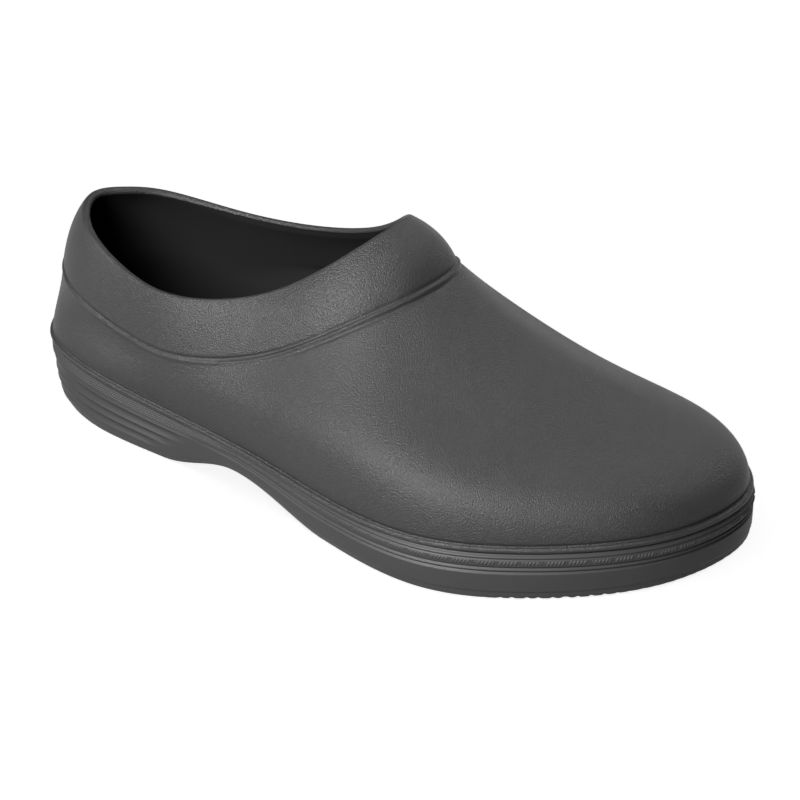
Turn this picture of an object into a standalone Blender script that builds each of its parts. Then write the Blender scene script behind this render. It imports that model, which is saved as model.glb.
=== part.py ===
"""Chef clog, right shoe, as three solids: upper, sole and insole.

Metres, +Z up, heel to toe along +X, the wearer's left along +Y.
The foot stands on z = 0 and the middle of its outline lies on the Z axis.
The upper is a closed ring of columns. Each column starts at the lip, climbs the
wall to the bead, crosses the collar band to the rim and comes back down inside.
The sole uses the same ring of columns for its side, with a ladder across it above
and below, and studs joined to its tread.
"""
import math

import bmesh
import bpy
import numpy as np

MM = 0.001

# Ring of columns, in millimetres from the back of the heel.
# foot x, y, z: where the wall meets the lip. bead x, y, z: the step below the collar.
# rim x, y, z: the crest of the collar. rise and lean: how far the wall climbs and
# swells before it bends. reach and drop: how the vamp runs into the bead.
STATIONS = (
    # foot x, y, z, bead x, y, z, rim x, y, z, rise, lean, reach, drop
    (1.7, 1.0, 29.7, 5.6, 1.9, 56.6, 18.0, 1.5, 81.6, 6.3, 0.0, 1.3, 11.5),
    (6.2, -15.3, 29.2, 11.6, -14.4, 55.0, 21.6, -10.8, 80.2, 6.8, 0.0, 1.0, 11.3),
    (20.3, -28.9, 28.0, 30.0, -28.8, 50.9, 34.3, -22.4, 75.5, 8.2, 0.3, 0.1, 10.5),
    (50.0, -38.5, 25.6, 56.6, -36.9, 46.7, 58.0, -31.6, 69.5, 11.7, 1.1, -1.0, 9.2),
    (90.0, -44.0, 22.6, 85.8, -44.5, 47.6, 85.8, -37.7, 69.3, 17.7, 2.3, 1.5, 9.0),
    (130.0, -52.3, 21.0, 116.4, -42.3, 53.7, 113.6, -31.8, 74.2, 24.7, 3.0, 12.1, 11.3),
    (170.0, -64.0, 20.3, 141.5, -38.9, 65.5, 134.5, -26.3, 84.9, 29.5, 2.8, 30.0, 19.0),
    (208.0, -67.5, 20.2, 156.5, -32.1, 74.2, 145.6, -19.9, 92.8, 31.0, 2.3, 43.0, 31.0),
    (240.0, -55.0, 20.2, 164.2, -24.1, 78.2, 150.5, -13.8, 96.5, 29.5, 1.5, 49.0, 40.0),
    (265.0, -36.0, 20.2, 169.2, -16.1, 80.6, 153.2, -8.5, 98.7, 27.5, 0.9, 50.5, 43.0),
    (281.5, -14.0, 20.0, 172.2, -7.7, 81.9, 154.8, -3.5, 99.8, 26.0, 0.4, 51.0, 43.0),
    (289.0, 12.0, 19.8, 173.4, 1.9, 82.4, 155.3, 1.9, 100.3, 25.0, 0.2, 51.0, 43.0),
    (284.2, 33.5, 20.0, 172.3, 11.4, 81.9, 154.8, 7.3, 99.9, 25.0, 0.3, 51.2, 44.3),
    (265.5, 50.0, 20.2, 169.3, 19.6, 80.7, 153.2, 12.1, 98.7, 24.5, 1.2, 52.0, 48.0),
    (236.0, 53.0, 20.2, 163.2, 28.7, 77.9, 149.8, 18.1, 96.2, 23.0, 2.4, 43.0, 37.5),
    (195.0, 45.5, 20.2, 152.8, 37.3, 72.5, 142.8, 24.9, 91.3, 25.0, 3.2, 22.0, 14.0),
    (150.0, 38.0, 20.6, 133.3, 41.5, 61.9, 127.5, 29.6, 81.7, 21.5, 3.1, 9.0, 10.5),
    (105.0, 35.0, 22.0, 97.8, 44.2, 51.0, 96.9, 36.0, 72.2, 20.3, 2.6, 4.3, 9.6),
    (60.0, 35.0, 25.0, 63.1, 38.9, 48.1, 64.2, 33.6, 71.2, 13.0, 1.4, -0.9, 9.0),
    (22.0, 29.5, 28.0, 31.4, 31.5, 51.4, 35.7, 24.6, 76.6, 8.4, 0.4, 0.0, 10.4),
    (6.2, 16.0, 29.2, 12.0, 16.8, 55.2, 23.9, 12.8, 80.2, 6.8, 0.0, 1.0, 11.3),
)
TOE_STATION = 11
COLUMNS = 80

# Upper, in millimetres.
WALL = 3.4
LIP_PROUD = ((120.0, 1.3), (230.0, 0.9), (285.0, 1.5))
LIP_THICK = 2.2
LIP_ROUND = 0.6
WALL_LEVELS = (0.08, 0.2, 0.34, 0.48, 0.62, 0.76, 0.88, 0.96)
INNER_WALL_LEVELS = (0.1, 0.28, 0.46, 0.64, 0.82, 1.0)
BEAD_PROUD = 0.9
BEAD_HALF = 1.1
BEAD_SAMPLE = 0.97
BAND_LEVELS = (0.12, 0.4, 0.7)
INNER_BAND_LEVELS = (0.45, 0.88)
BAND_HOLLOW = 0.62
BAND_SIDE = 0.25
RIM_RADIUS = 1.75
RIM_LEVELS = (0.0, 0.25, 0.5, 0.75, 1.0)
NORMAL_SAMPLE = 0.02

# Side of the sole. Levels are shares of its height, from 0 at the top to 1 at the floor.
# round and groove are insets in millimetres. heel_end is where a heel flute dies out.
SOLE_ROWS = (
    # heel level, fore level, round, heel groove, fore groove, heel end x
    (0.00, 0.00, 0.0, 0.3, 0.5, 130.0),
    (0.03, 0.05, 0.0, 0.0, 0.0, 90.0),
    (0.20, 0.15, 0.0, 0.0, 0.0, 90.0),
    (0.245, 0.19, 0.1, 0.6, 0.5, 98.0),
    (0.29, 0.25, 0.2, 0.0, 0.0, 90.0),
    (0.38, 0.285, 0.35, 1.2, 0.6, 92.0),
    (0.47, 0.32, 0.5, 0.0, 0.0, 90.0),
    (0.55, 0.37, 0.7, 1.2, 0.6, 86.0),
    (0.625, 0.41, 0.95, 0.0, 0.0, 90.0),
    (0.70, 0.60, 1.4, 1.1, 0.0, 78.0),
    (0.78, 0.82, 2.0, 0.0, 0.0, 90.0),
    (0.85, 0.835, 2.5, 0.0, 0.5, 90.0),
    (0.95, 0.96, 3.7, 0.0, 0.5, 90.0),
    (1.00, 1.00, 4.8, 0.0, 0.8, 90.0),
)
SIDE_PROUD = ((140.0, 0.2), (235.0, 1.2), (285.0, 1.9))
ROUNDING = ((0.0, 1.0), (45.0, 0.4), (110.0, 0.5), (150.0, 0.7), (235.0, 0.05))
HEEL_TO_FORE = ((84.0, 0.0), (120.0, 1.0))
FLUTE_FADE = 14.0
PIECE_GAP = 0.3
ARCH = ((76.0, 0.0), (113.0, 8.0), (160.0, 0.0))
TOE_SPRING = ((250.0, 0.0), (291.0, 0.8))
TREAD_RIM = 7.0
TREAD_RIM_SHARE = 0.32
TREAD_SLOPE = 0.8
TREAD_SLOPE_SHARE = 0.36
TREAD_DEEP = 2.4
TREAD_SPANS = (((10.0, 0.0), (16.0, 1.0), (70.0, 1.0), (77.0, 0.0)),
               ((160.0, 0.0), (170.0, 1.0), (268.0, 1.0), (275.0, 0.0)))
STUD_RADIUS = 6.2
STUD_STEP_X = 13.6
STUD_STEP_Y = 14.6
STUD_ROWS_EACH_SIDE = 5
STUD_CLEAR = 1.2
STUD_SINK = 1.0
STUD_SPANS = ((21.0, 67.0), (177.5, 260.0))

# Insole, in millimetres.
INSOLE_INSET = 3.6
INSOLE_LEAN = 0.6
INSOLE_THICK = 4.0
INSOLE_CUP = 1.8
INSOLE_EDGE = 0.8
INSOLE_RUNG_POINTS = 5
WALL_SAMPLES = 26

SHARP_ANGLE = math.radians(38.0)
UPPER_COLOUR = (0.045, 0.045, 0.048)
SOLE_COLOUR = (0.04, 0.04, 0.043)
INSOLE_COLOUR = (0.03, 0.03, 0.032)


def closed_spline(rows, places):
    """Cubic curve through the rows of a closed table, read at places in row numbers."""
    rows = np.asarray(rows, float)
    count = len(rows)
    eye = np.eye(count)
    system = 4.0 * eye + np.roll(eye, 1, 1) + np.roll(eye, -1, 1)
    bends = np.roll(rows, 1, 0) - 2.0 * rows + np.roll(rows, -1, 0)
    bends = np.linalg.solve(system, 6.0 * bends)
    low = np.floor(places).astype(int) % count
    high = (low + 1) % count
    t = (places - np.floor(places))[:, None]
    s = 1.0 - t
    curve = s * rows[low] + t * rows[high]
    return curve + ((s**3 - s) * bends[low] + (t**3 - t) * bends[high]) / 6.0


def ease(x, table):
    """Value at x of a table of (x, value) rows joined by flat-ended S curves."""
    x = np.asarray(x, float)
    value = np.full(x.shape, float(table[0][1]))
    for (x0, v0), (x1, v1) in zip(table[:-1], table[1:]):
        t = np.clip((x - x0) / (x1 - x0), 0.0, 1.0)
        value = value + (v1 - v0) * t * t * (3.0 - 2.0 * t)
    return value


def plan_outward(loop):
    """Level unit directions square to a closed loop of points, pointing out of it."""
    along = np.roll(loop, -1, 0) - np.roll(loop, 1, 0)
    out = np.stack([along[:, 1], -along[:, 0], np.zeros(len(loop))], 1)
    out /= np.linalg.norm(out, axis=1)[:, None]
    away = ((loop - loop.mean(0)) * out).sum()
    return out if away > 0.0 else -out


def ring():
    """Columns of the ring: foot, bead and rim points, handles and outward directions."""
    half = COLUMNS // 2
    lateral = np.arange(half) * TOE_STATION / half
    medial = TOE_STATION + np.arange(half) * (len(STATIONS) - TOE_STATION) / half
    table = closed_spline(STATIONS, np.concatenate([lateral, medial]))
    middle = (table[:, :2].min(0) + table[:, :2].max(0)) / 2.0
    for first in (0, 3, 6):
        table[:, first:first + 2] -= middle
    return table, plan_outward(table[:, 0:3]), middle[0]


def wall_at(table, out, share):
    """Points of the outer wall at a share of the way from the lip to the bead."""
    foot = table[:, 0:3]
    bead = table[:, 3:6]
    plan = (bead - foot) * np.array([1.0, 1.0, 0.0])
    plan /= np.linalg.norm(plan, axis=1)[:, None]
    first = foot + out * table[:, 10:11]
    first[:, 2] += table[:, 9]
    last = bead - plan * table[:, 11:12]
    last[:, 2] -= table[:, 12]
    rest = 1.0 - share
    curve = rest**3 * foot + 3.0 * rest**2 * share * first
    return curve + 3.0 * rest * share**2 * last + share**3 * bead


def band_handle(table):
    """Points that pull the collar band outside the line from the bead to the rim."""
    bead = table[:, 3:6]
    rim = table[:, 6:9]
    return bead + (rim - bead) * np.array([BAND_SIDE, BAND_SIDE, BAND_HOLLOW])


def rim_at(table, share):
    """Points round the rim, from where the band touches its circle to the far side."""
    rim = table[:, 6:9]
    aside = plan_outward(rim)
    middle = rim - np.array([0.0, 0.0, RIM_RADIUS])
    handle = band_handle(table) - middle
    away = (handle * aside).sum(1)
    rise = handle[:, 2]
    touch = np.arctan2(rise, away) + np.arccos(RIM_RADIUS / np.hypot(away, rise))
    turn = touch + math.pi * share
    up = np.outer(np.sin(turn), (0.0, 0.0, RIM_RADIUS))
    return middle + aside * np.cos(turn)[:, None] * RIM_RADIUS + up


def band_at(table, share):
    """Points of the collar band at a share of the way from the bead to the rim."""
    rest = 1.0 - share
    curve = rest**2 * table[:, 3:6] + 2.0 * rest * share * band_handle(table)
    return curve + share**2 * rim_at(table, 0.0)


def side_normals(curve, share):
    """Unit normals of a surface of columns at one level, pointing out of the shoe."""
    points = curve(share)
    low = curve(max(share - NORMAL_SAMPLE, 0.0))
    high = curve(min(share + NORMAL_SAMPLE, 1.0))
    around = np.roll(points, -1, 0) - np.roll(points, 1, 0)
    found = np.cross(high - low, around)
    found /= np.linalg.norm(found, axis=1)[:, None]
    away = ((points - points.mean(0))[:, :2] * found[:, :2]).sum()
    return found if away > 0.0 else -found


def upper_rows():
    """Closed profile of the upper as rows of points, one point for each column."""
    table, out, middle_x = ring()
    foot = table[:, 0:3]
    proud = out * ease(foot[:, 0] + middle_x, LIP_PROUD)[:, None]
    tuck = out * LIP_ROUND
    up = np.array([0.0, 0.0, 1.0])

    def wall(share):
        return wall_at(table, out, share)

    def band(share):
        return band_at(table, share)

    rows = [
        foot - out * WALL - up * LIP_THICK,
        foot + proud - tuck - up * LIP_THICK,
        foot + proud - up * (LIP_THICK - LIP_ROUND),
        foot + proud - up * LIP_ROUND,
        foot + proud - tuck,
    ]
    for share in WALL_LEVELS:
        rows.append(wall(share))
    crest = side_normals(wall, 1.0)
    slope = wall(1.0) - wall(BEAD_SAMPLE)
    slope /= np.linalg.norm(slope, axis=1)[:, None]
    bead = table[:, 3:6]
    rows.append(bead - slope * BEAD_HALF * 2.0)
    rows.append(bead - slope * BEAD_HALF + crest * BEAD_PROUD)
    rows.append(bead)
    for share in BAND_LEVELS:
        rows.append(band(share))
    for share in RIM_LEVELS:
        rows.append(rim_at(table, share))
    for share in reversed(INNER_BAND_LEVELS):
        rows.append(band(share) - side_normals(band, share) * WALL)
    for share in reversed(INNER_WALL_LEVELS):
        rows.append(wall(share) - side_normals(wall, share) * WALL)
    return [row * MM for row in rows]


def floor_height(x):
    """Height of the underside at x: flat heel, arch, flat forefoot and toe spring."""
    return ease(x, ARCH) + ease(x, TOE_SPRING)


def sole_side():
    """Rows of the sole's side from its top edge down to the tread."""
    table, out, middle_x = ring()
    foot = table[:, 0:3]
    x = foot[:, 0] + middle_x
    top = foot[:, 2] - LIP_THICK - PIECE_GAP
    bottom = floor_height(x)
    fore = ease(x, HEEL_TO_FORE)
    rounding = ease(x, ROUNDING)
    proud = ease(x, SIDE_PROUD)
    rows = []
    for heel_level, fore_level, round_in, heel_groove, fore_groove, heel_end in SOLE_ROWS:
        level = heel_level * (1.0 - fore) + fore_level * fore
        fade = ease(x, ((heel_end - FLUTE_FADE, 1.0), (heel_end, 0.0)))
        groove = heel_groove * fade * (1.0 - fore) + fore_groove * fore
        inset = round_in * rounding + groove - proud
        row = foot - out * inset[:, None]
        row[:, 2] = top + (bottom - top) * level
        rows.append(row)
    return rows, middle_x


def ladder(row, shares, heights):
    """Rungs from each lateral point of a row to its medial partner, heel to toe.

    shares has the places of the points along a rung and heights what is added to
    the height of each: both have one line for each rung.
    """
    half = len(row) // 2
    rungs = []
    for i in range(1, half):
        lateral = row[i]
        medial = row[len(row) - i]
        places = np.asarray(shares[i])[:, None]
        points = lateral * (1.0 - places) + medial * places
        points[:, 2] += heights[i]
        rungs.append(points)
    return rungs


def ring_faces(count, rows, closed):
    """Quads between successive rows of a ring, closed back to the first or not."""
    faces = []
    last = rows if closed else rows - 1
    for r in range(last):
        here = r * count
        there = ((r + 1) % rows) * count
        for i in range(count):
            j = (i + 1) % count
            faces.append((here + i, here + j, there + j, there + i))
    return faces


def lid(points, faces, row_start, count, rungs):
    """Cover a row of a ring with rungs: adds the inner points and the faces."""
    half = count // 2
    first = len(points)
    inner = len(rungs[0])
    for rung in rungs:
        points.extend(tuple(p) for p in rung)

    def line(i):
        inside = [first + (i - 1) * inner + k for k in range(inner)]
        return [row_start + i] + inside + [row_start + count - i]

    heel = row_start
    toe = row_start + half
    rung = line(1)
    for a, b in zip(rung[:-1], rung[1:]):
        faces.append((heel, a, b))
    for i in range(1, half - 1):
        near = line(i)
        far = line(i + 1)
        for k in range(len(near) - 1):
            faces.append((near[k], far[k], far[k + 1], near[k + 1]))
    rung = line(half - 1)
    for a, b in zip(rung[:-1], rung[1:]):
        faces.append((toe, b, a))


def even_shares(count, inner):
    """The same evenly spaced places on every rung."""
    places = np.arange(1, inner + 1) / (inner + 1.0)
    return [places] * (count // 2)


def material(name, colour, roughness):
    """Principled material of one colour."""
    made = bpy.data.materials.new(name)
    made.use_nodes = True
    shader = made.node_tree.nodes["Principled BSDF"]
    shader.inputs["Base Color"].default_value = (*colour, 1.0)
    shader.inputs["Roughness"].default_value = roughness
    return made


def add_object(name, points, faces, colour, roughness):
    """Object from points in metres, its faces turned outwards and shaded smooth."""
    mesh = bpy.data.meshes.new(name)
    mesh.from_pydata([tuple(p) for p in points], [], faces)
    work = bmesh.new()
    work.from_mesh(mesh)
    bmesh.ops.recalc_face_normals(work, faces=work.faces[:])
    work.to_mesh(mesh)
    work.free()
    mesh.shade_smooth()
    mesh.set_sharp_from_angle(angle=SHARP_ANGLE)
    made = bpy.data.objects.new(name, mesh)
    made.data.materials.append(material(name, colour, roughness))
    bpy.context.scene.collection.objects.link(made)
    return made


def build_upper():
    """Hollow shell from the lip to the rim and back down inside."""
    rows = upper_rows()
    points = np.concatenate(rows)
    faces = ring_faces(COLUMNS, len(rows), True)
    return add_object("upper", points, faces, UPPER_COLOUR, 0.5)


def tread_shares(row):
    """Places across each rung of the underside: rim, slope up, field, slope, rim."""
    lines = []
    for i in range(len(row) // 2):
        width = max(math.dist(row[i, :2], row[-i, :2]), 1.0)
        rim = min(TREAD_RIM / width, TREAD_RIM_SHARE)
        slope = min((TREAD_RIM + TREAD_SLOPE) / width, TREAD_SLOPE_SHARE)
        lines.append(np.array([rim, slope, 0.5, 1.0 - slope, 1.0 - rim]))
    return lines


def tread_depth(x):
    """How deep the field between the studs lies above the tread's rim at x."""
    deep = np.zeros(np.shape(x))
    for span in TREAD_SPANS:
        deep = deep + ease(x, span)
    return deep * TREAD_DEEP


def inside_field(row, x, y):
    """Whether a stud at x, y stands clear of the tread's rim."""
    half = len(row) // 2
    room = TREAD_RIM + TREAD_SLOPE + STUD_CLEAR + STUD_RADIUS
    if np.hypot(row[:, 0] - x, row[:, 1] - y).min() < room:
        return False
    side = np.interp(x, row[:half + 1, 0], row[:half + 1, 1])
    other = np.interp(x, row[half:, 0][::-1], row[half:, 1][::-1])
    return side < y < other


def stud_places(row, middle_x):
    """Centres of the studs in staggered rows on the heel and the forefoot."""
    places = []
    for start, end in STUD_SPANS:
        count = int((end - start) / STUD_STEP_X) + 1
        for i in range(count):
            x = start + i * STUD_STEP_X - middle_x
            for j in range(-STUD_ROWS_EACH_SIDE, STUD_ROWS_EACH_SIDE + 1):
                y = (j + 0.5 * (i % 2)) * STUD_STEP_Y
                if inside_field(row, x, y):
                    places.append((x, y))
    return places


def build_studs(row, middle_x):
    """Six-sided studs as one operand, each sunk into the field above it."""
    points = []
    faces = []
    for x, y in stud_places(row, middle_x):
        low = float(floor_height(np.array([x + middle_x]))[0])
        high = low + TREAD_DEEP + STUD_SINK
        base = len(points)
        for z in (low, high):
            for k in range(6):
                turn = math.radians(60.0 * k)
                px = x + STUD_RADIUS * math.cos(turn)
                py = y + STUD_RADIUS * math.sin(turn)
                points.append((px * MM, py * MM, z * MM))
        faces.append(tuple(base + k for k in reversed(range(6))))
        faces.append(tuple(base + 6 + k for k in range(6)))
        for k in range(6):
            n = (k + 1) % 6
            faces.append((base + k, base + n, base + 6 + n, base + 6 + k))
    studs = add_object("studs_operand", points, faces, SOLE_COLOUR, 0.55)
    studs.hide_render = True
    studs.display_type = "WIRE"
    return studs


def build_sole():
    """Moulded sole: flat lid, stepped side, tread with its rim and studs."""
    rows, middle_x = sole_side()
    count = COLUMNS
    points = [tuple(p) for p in np.concatenate(rows)]
    faces = ring_faces(count, len(rows), False)
    lid(points, faces, 0, count, ladder(rows[0], even_shares(count, 1), [0.0] * count))
    under = rows[-1]
    shares = tread_shares(under)
    heights = []
    for i, places in enumerate(shares):
        across = under[i, 0] * (1.0 - places) + under[-i, 0] * places
        deep = tread_depth(across + middle_x)
        deep[[0, -1]] = 0.0
        heights.append(deep)
    last = (len(rows) - 1) * count
    lid(points, faces, last, count, ladder(under, shares, heights))
    scaled = np.array(points) * MM
    sole = add_object("sole", scaled, faces, SOLE_COLOUR, 0.55)
    studs = build_studs(under, middle_x)
    union = sole.modifiers.new("studs", "BOOLEAN")
    union.operation = "UNION"
    union.solver = "EXACT"
    union.object = studs
    return sole


def inner_at_height(table, out, height):
    """Points just inside the upper's inner wall at a height above the lip's underside."""
    shares = np.linspace(0.0, 0.5, WALL_SAMPLES)
    levels = np.stack([wall_at(table, out, share) for share in shares])
    target = table[:, 2] - LIP_THICK + height
    points = np.zeros((len(table), 3))
    for i, z in enumerate(target):
        above = max(z, levels[0, i, 2])
        points[i, 0] = np.interp(above, levels[:, i, 2], levels[:, i, 0])
        points[i, 1] = np.interp(above, levels[:, i, 2], levels[:, i, 1])
        points[i, 2] = z
    return points - out * (INSOLE_INSET + INSOLE_LEAN)


def build_insole():
    """Footbed inside the upper, a little cupped, just clear of the wall and the sole."""
    table, out, _ = ring()
    edge = INSOLE_THICK + INSOLE_CUP
    base = table[:, 0:3] - out * INSOLE_INSET
    base[:, 2] -= LIP_THICK
    side = inner_at_height(table, out, edge - INSOLE_EDGE)
    rows = [base, side, side - out * INSOLE_EDGE + np.array([0.0, 0.0, INSOLE_EDGE])]
    points = [tuple(p) for p in np.concatenate(rows)]
    faces = ring_faces(COLUMNS, len(rows), False)
    lid(points, faces, 0, COLUMNS, ladder(rows[0], even_shares(COLUMNS, 1), [0.0] * COLUMNS))
    places = even_shares(COLUMNS, INSOLE_RUNG_POINTS)
    dish = [((2.0 * p - 1.0) ** 2 - 1.0) * INSOLE_CUP for p in places]
    rungs = ladder(rows[-1], places, dish)
    lid(points, faces, (len(rows) - 1) * COLUMNS, COLUMNS, rungs)
    return add_object("insole", np.array(points) * MM, faces, INSOLE_COLOUR, 0.7)


def main():
    """Clear the scene and build the three pieces."""
    for old in list(bpy.data.objects):
        bpy.data.objects.remove(old)
    build_upper()
    build_sole()
    build_insole()


main()
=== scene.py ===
"""Chef clog, dressed: fine upper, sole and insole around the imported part, and its stage.

The upper is a ring of columns. Each column climbs from the lip up the wall to the
bead, over the collar band to the rim, and comes back down inside. The sole's side
and the insole share the ring. All shapes are worked out as whole arrays.
"""
import math

import bmesh
import bpy
import numpy as np
from mathutils import Matrix, Vector


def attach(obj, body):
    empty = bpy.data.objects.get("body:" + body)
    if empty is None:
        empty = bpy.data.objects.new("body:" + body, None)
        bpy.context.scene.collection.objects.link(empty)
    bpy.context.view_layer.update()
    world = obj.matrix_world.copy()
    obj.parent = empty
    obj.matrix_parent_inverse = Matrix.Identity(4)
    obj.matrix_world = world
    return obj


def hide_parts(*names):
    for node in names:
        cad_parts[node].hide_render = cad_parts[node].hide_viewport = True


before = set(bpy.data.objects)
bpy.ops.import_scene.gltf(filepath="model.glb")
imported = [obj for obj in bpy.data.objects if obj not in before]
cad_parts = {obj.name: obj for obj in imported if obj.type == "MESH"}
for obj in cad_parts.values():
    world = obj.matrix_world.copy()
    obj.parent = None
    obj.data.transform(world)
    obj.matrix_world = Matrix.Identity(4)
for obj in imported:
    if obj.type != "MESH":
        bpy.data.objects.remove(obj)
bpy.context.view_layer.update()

bl_info = {
    "name": "Chef clog",
    "version": (1, 0, 0),
    "blender": (4, 5, 0),
    "location": "View3D > Sidebar > Clog",
    "description": "Builds a moulded chef clog around its packed frame",
    "category": "Add Mesh",
}

MM = 0.001

# Ring of columns, in millimetres from the back of the heel.
STATIONS = (
    # foot x, y, z, bead x, y, z, rim x, y, z, rise, lean, reach, drop
    (1.7, 1.0, 29.7, 5.6, 1.9, 56.6, 18.0, 1.5, 81.6, 6.3, 0.0, 1.3, 11.5),
    (6.2, -15.3, 29.2, 11.6, -14.4, 55.0, 21.6, -10.8, 80.2, 6.8, 0.0, 1.0, 11.3),
    (20.3, -28.9, 28.0, 30.0, -28.8, 50.9, 34.3, -22.4, 75.5, 8.2, 0.3, 0.1, 10.5),
    (50.0, -38.5, 25.6, 56.6, -36.9, 46.7, 58.0, -31.6, 69.5, 11.7, 1.1, -1.0, 9.2),
    (90.0, -44.0, 22.6, 85.8, -44.5, 47.6, 85.8, -37.7, 69.3, 17.7, 2.3, 1.5, 9.0),
    (130.0, -52.3, 21.0, 116.4, -42.3, 53.7, 113.6, -31.8, 74.2, 24.7, 3.0, 12.1, 11.3),
    (170.0, -64.0, 20.3, 141.5, -38.9, 65.5, 134.5, -26.3, 84.9, 29.5, 2.8, 30.0, 19.0),
    (208.0, -67.5, 20.2, 156.5, -32.1, 74.2, 145.6, -19.9, 92.8, 31.0, 2.3, 43.0, 31.0),
    (240.0, -55.0, 20.2, 164.2, -24.1, 78.2, 150.5, -13.8, 96.5, 29.5, 1.5, 49.0, 40.0),
    (265.0, -36.0, 20.2, 169.2, -16.1, 80.6, 153.2, -8.5, 98.7, 27.5, 0.9, 50.5, 43.0),
    (281.5, -14.0, 20.0, 172.2, -7.7, 81.9, 154.8, -3.5, 99.8, 26.0, 0.4, 51.0, 43.0),
    (289.0, 12.0, 19.8, 173.4, 1.9, 82.4, 155.3, 1.9, 100.3, 25.0, 0.2, 51.0, 43.0),
    (284.2, 33.5, 20.0, 172.3, 11.4, 81.9, 154.8, 7.3, 99.9, 25.0, 0.3, 51.2, 44.3),
    (265.5, 50.0, 20.2, 169.3, 19.6, 80.7, 153.2, 12.1, 98.7, 24.5, 1.2, 52.0, 48.0),
    (236.0, 53.0, 20.2, 163.2, 28.7, 77.9, 149.8, 18.1, 96.2, 23.0, 2.4, 43.0, 37.5),
    (195.0, 45.5, 20.2, 152.8, 37.3, 72.5, 142.8, 24.9, 91.3, 25.0, 3.2, 22.0, 14.0),
    (150.0, 38.0, 20.6, 133.3, 41.5, 61.9, 127.5, 29.6, 81.7, 21.5, 3.1, 9.0, 10.5),
    (105.0, 35.0, 22.0, 97.8, 44.2, 51.0, 96.9, 36.0, 72.2, 20.3, 2.6, 4.3, 9.6),
    (60.0, 35.0, 25.0, 63.1, 38.9, 48.1, 64.2, 33.6, 71.2, 13.0, 1.4, -0.9, 9.0),
    (22.0, 29.5, 28.0, 31.4, 31.5, 51.4, 35.7, 24.6, 76.6, 8.4, 0.4, 0.0, 10.4),
    (6.2, 16.0, 29.2, 12.0, 16.8, 55.2, 23.9, 12.8, 80.2, 6.8, 0.0, 1.0, 11.3),
)
TOE_STATION = 11
COLUMNS = 560
MIDDLE_COLUMNS = 80
STITCH_COLUMNS = 3600
INSOLE_COLUMNS = 240
UP = np.array([0.0, 0.0, 1.0])

# Rows of the upper: how many, and where they end as shares of the way up the wall and
# over the band. The inner rows give first share, last share and count.
WALL_LOW_ROWS = 44
WALL_LOW_END = 0.6
WALL_MID_ROWS = 34
WALL_MID_END = 0.97
WALL_TOP_ROWS = 10
BAND_LOW_ROWS = 14
BAND_LOW_END = 0.2
BAND_TOP_ROWS = 28
BAND_TOP_END = 0.98
CREST_ROWS = 15
LIP_ROWS = 11
INNER_BAND = (0.1, 0.94, 11)
INNER_WALL = (1.0, 0.06, 14)

WALL = 3.4
LIP_PROUD = ((120.0, 1.3), (230.0, 0.9), (285.0, 1.5))
LIP_THICK = 2.2
LIP_HALF = ((95.0, 0.85), (140.0, 1.1))
LIP_ROUND = 0.8
LIP_CREASE = ((110.0, 0.3), (150.0, 0.6), (200.0, 0.35))
LIP_CREASE_WIDE = 0.5
LIP_FLARE = ((95.0, 0.6), (140.0, 0.0))
LIP_FLARE_HIGH = 2.4
BAND_HOLLOW = 0.62
BAND_SIDE = 0.25
RIM_RADIUS = ((30.0, 1.75), (70.0, 1.3), (120.0, 1.3), (150.0, 1.6))

# Bead across the column: place in mm above the bead line, half width, and how far it
# stands out at the heel, at the sides and at the instep.
BEAD_WAVES = (
    (-2.3, 0.8, -0.05, -0.05, -0.50),
    (-0.8, 0.68, 0.35, 0.25, 0.95),
    (0.7, 0.7, -0.95, -0.6, -0.25),
)
BEAD_HEEL = ((20.0, 1.0), (60.0, 0.0))
BEAD_FRONT = ((110.0, 0.0), (160.0, 1.0))

# Side of the sole by level, nought at its top and one at the floor: rounding inset, and
# grooves as level at the heel, level at the forefoot, half width in mm, depth at the
# heel, depth at the forefoot, and where they run out at the heel.
SIDE_ROWS = 110
ROUND_ROWS = (
    (0.0, 0.0), (0.2, 0.05), (0.42, 0.4), (0.58, 0.8),
    (0.74, 1.7), (0.85, 2.5), (0.95, 3.7), (1.0, 4.8),
)
GROOVES = (
    (0.0, 0.0, 0.6, 1.0, 1.0, 400.0),
    (0.215, 0.095, 0.3, 0.4, 0.35, 99.0),
    (0.215, 0.290, 0.45, 0.3, 0.65, 99.0),
    (0.25, 0.385, 0.45, 0.0, 0.65, 99.0),
)
# Scalloped flutes round the heel, from the top down, and where each one runs out.
FLUTES = (
    # top level, bottom level, depth, end x
    (0.205, 0.29, 0.5, 98.0),
    (0.29, 0.47, 1.1, 92.0),
    (0.47, 0.625, 1.1, 86.0),
    (0.625, 0.78, 1.0, 78.0),
)
FLUTE_BACK = ((4.0, 0.15), (30.0, 1.0))
FLUTE_FULLNESS = 0.8
SIDE_PROUD = ((140.0, 0.2), (235.0, 1.2), (285.0, 1.9))
ROUNDING = ((0.0, 1.0), (45.0, 0.4), (110.0, 0.5), (150.0, 0.7), (235.0, 0.05))
HEEL_TO_FORE = ((84.0, 0.0), (120.0, 1.0))
FLUTE_FADE = 12.0
PIECE_GAP = 0.3
ARCH = ((76.0, 0.0), (113.0, 8.0), (160.0, 0.0))
TOE_SPRING = ((250.0, 0.0), (291.0, 0.8))
TREAD_HIGH = 3.0
TREAD_STEP = 0.45
TREAD_STEP_SOFT = 0.12
CORNER_HIGH = 0.7
CORNER_IN = 0.5
LID_RUNGS = 12
TREAD_RUNGS = 22

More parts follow.
